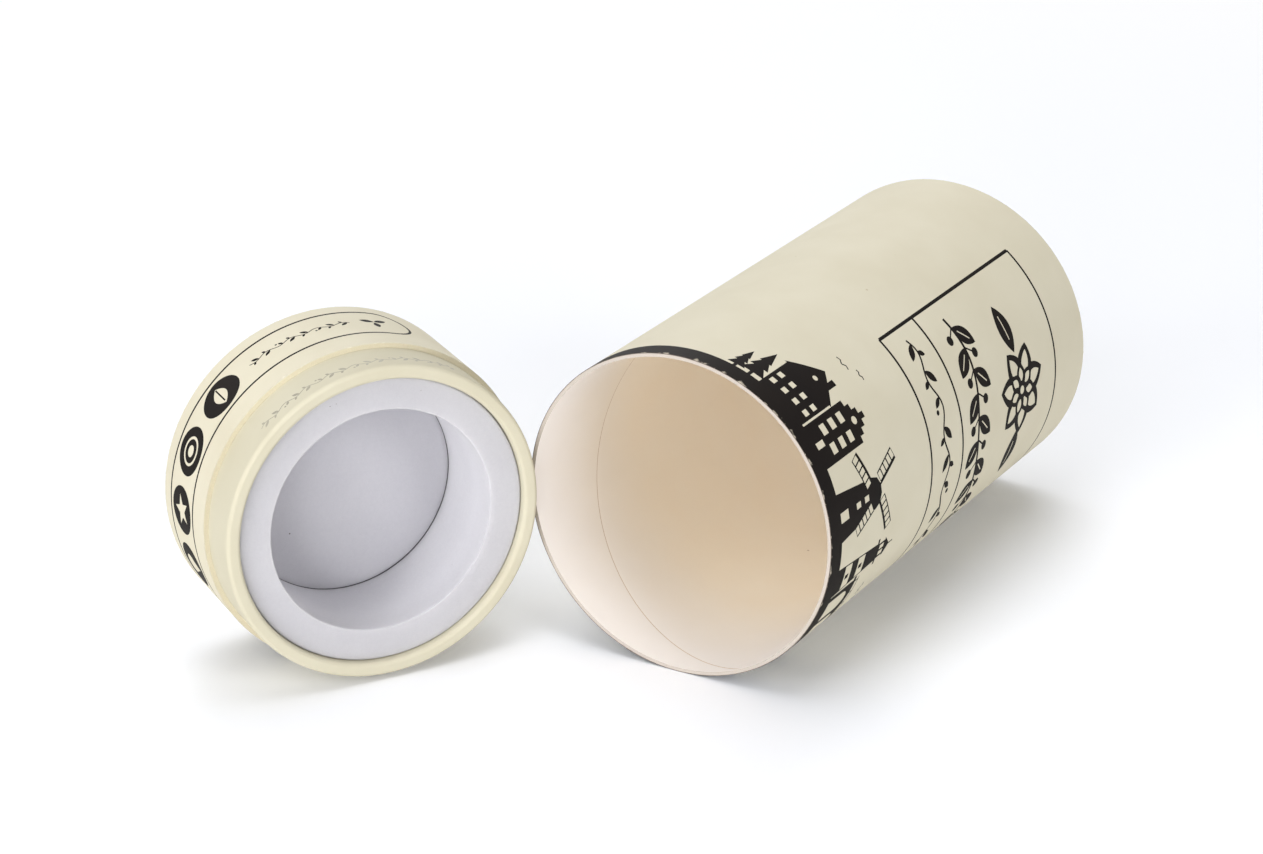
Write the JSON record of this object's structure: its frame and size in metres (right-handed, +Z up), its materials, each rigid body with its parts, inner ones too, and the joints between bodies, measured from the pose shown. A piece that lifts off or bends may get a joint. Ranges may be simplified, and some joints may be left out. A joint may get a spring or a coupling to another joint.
{
  "type": "cylindrical gift tube box",
  "caption": "Round paper tube gift box, lying open: a tall cover drawn off a short base whose neck holds a foam insert with a round well for a bottle.",
  "frame": {"origin": "on the table, under the middle of the lying box's bounding box", "axes": "+Z up; +X along the cover's axis from its open mouth to its closed end; the base lies beside it on +Y, its own axis turned 56.8 degrees from +X, mouth towards -X and -Y"},
  "size_m": [0.2204, 0.1578, 0.084],
  "materials": {
    "printed_wrap": "satin",
    "lining_paper": "matte",
    "wound_board": "matte",
    "end_board": "matte",
    "foam": "matte"
  },
  "bodies": {
    "base": {"base_tube": "wound_board", "base_wrap": "printed_wrap", "base_board": "end_board", "base_label": "printed_wrap", "neck_tube": "wound_board", "neck_wrap": "printed_wrap", "foam_pad": "foam"},
    "cover": {"cover_tube": "wound_board", "cover_wrap": "printed_wrap", "cover_lining": "lining_paper", "cover_top_board": "end_board", "cover_top_label": "printed_wrap", "cover_ceiling_paper": "lining_paper"},
    "foam_insert": {"foam_ring": "foam"}
  },
  "joints": [
    {"name": "cover_slide", "type": "slide", "parent": "base", "child": "cover", "axis": [1, 0, 0], "range_m": [0, 0.06]},
    {"name": "foam_slide", "type": "slide", "parent": "base", "child": "foam_insert", "axis": [-0.5476, -0.8368, 0], "range_m": [0, 0.026]}
  ]
}
